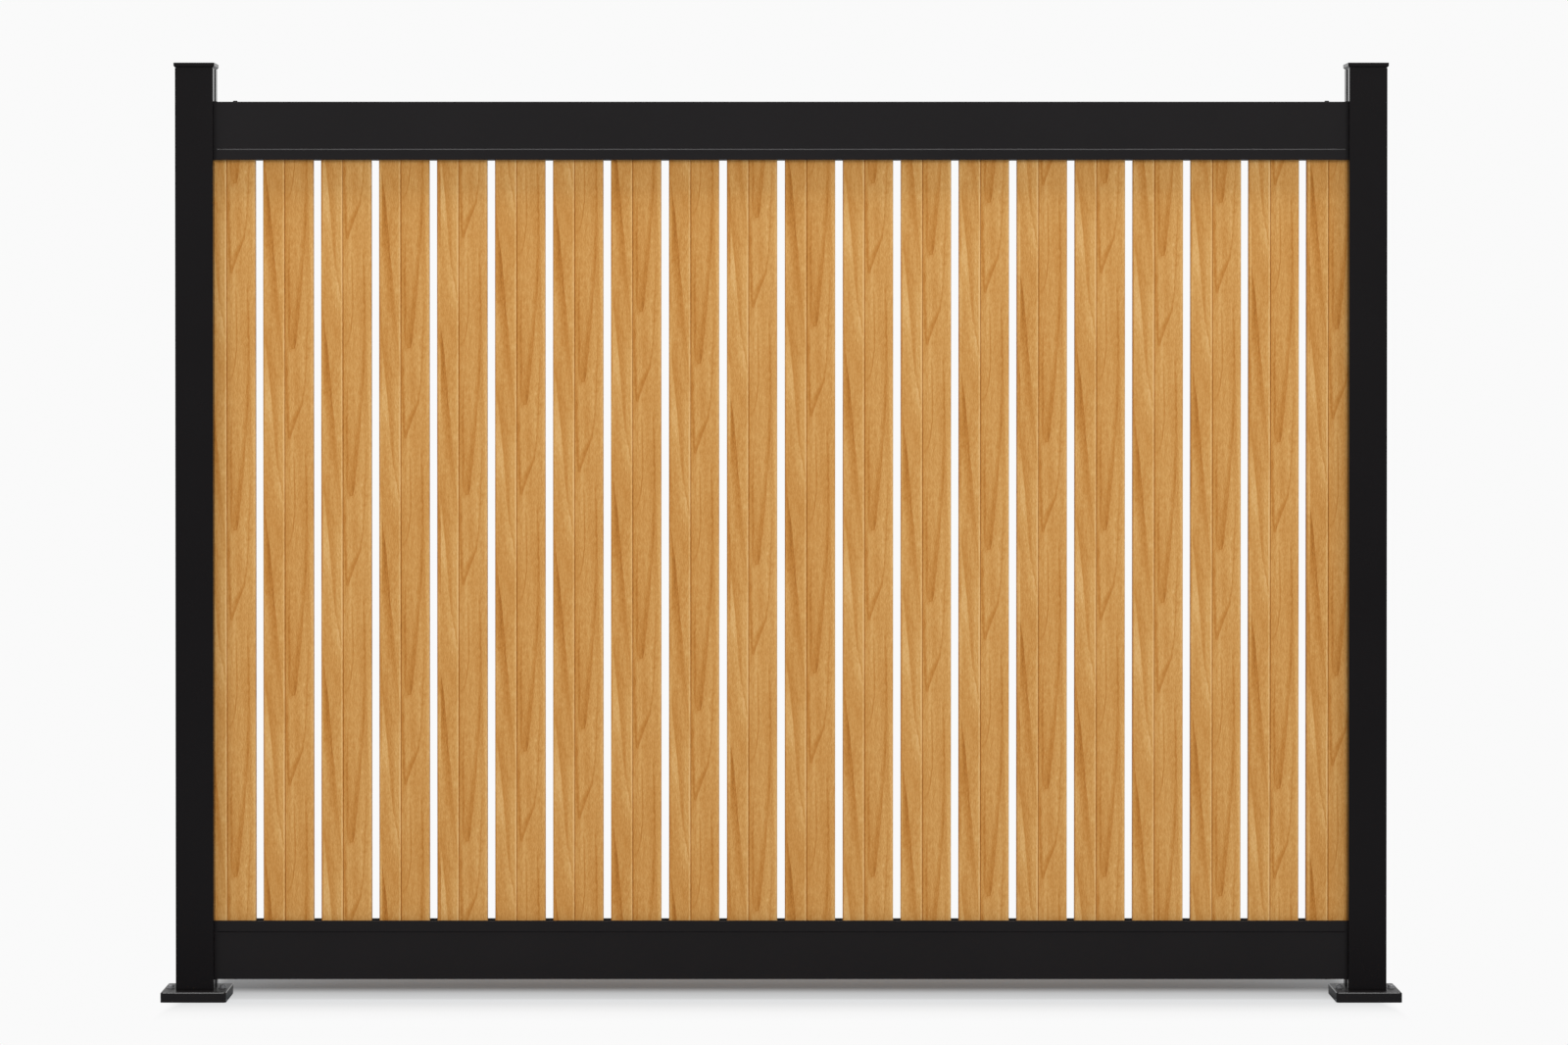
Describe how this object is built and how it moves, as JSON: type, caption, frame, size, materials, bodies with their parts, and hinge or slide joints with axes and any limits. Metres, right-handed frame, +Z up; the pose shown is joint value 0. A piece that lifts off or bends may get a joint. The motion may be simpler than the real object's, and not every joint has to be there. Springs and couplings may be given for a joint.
{
  "type": "aluminium slat fence panel",
  "caption": "Fence panel of upright wood-look aluminium slats in two black rails, between square capped posts that stand on base plates.",
  "frame": {"origin": "centre of the left base plate's underside, on the ground", "axes": "+X along the fence to the right post, +Y to the back of the fence, +Z up"},
  "size_m": [2.4944, 0.1322, 1.889],
  "materials": {
    "black_coat": "satin black powder coat on aluminium",
    "wood_coat": "golden oak wood-grain film coat on aluminium, satin",
    "black_plastic": "matt black moulded plastic"
  },
  "bodies": {
    "root": {"left_base_plate": "black_coat", "right_base_plate": "black_coat", "left_post": "black_coat", "right_post": "black_coat", "left_post_cap": "black_coat", "right_post_cap": "black_coat", "top_rail": "black_coat", "bottom_rail": "black_coat", "top_left_bracket": "black_coat", "top_right_bracket": "black_coat", "bottom_left_bracket": "black_coat", "bottom_right_bracket": "black_coat", "slat_01": "wood_coat", "slat_02": "wood_coat", "slat_03": "wood_coat", "slat_04": "wood_coat", "slat_05": "wood_coat", "slat_06": "wood_coat", "slat_07": "wood_coat", "slat_08": "wood_coat", "slat_09": "wood_coat", "slat_10": "wood_coat", "slat_11": "wood_coat", "slat_12": "wood_coat", "slat_13": "wood_coat", "slat_14": "wood_coat", "slat_15": "wood_coat", "slat_16": "wood_coat", "slat_17": "wood_coat", "slat_18": "wood_coat", "slat_19": "wood_coat", "slat_20": "wood_coat", "top_spacers": "black_plastic", "bottom_spacers": "black_plastic"}
  },
  "joints": []
}
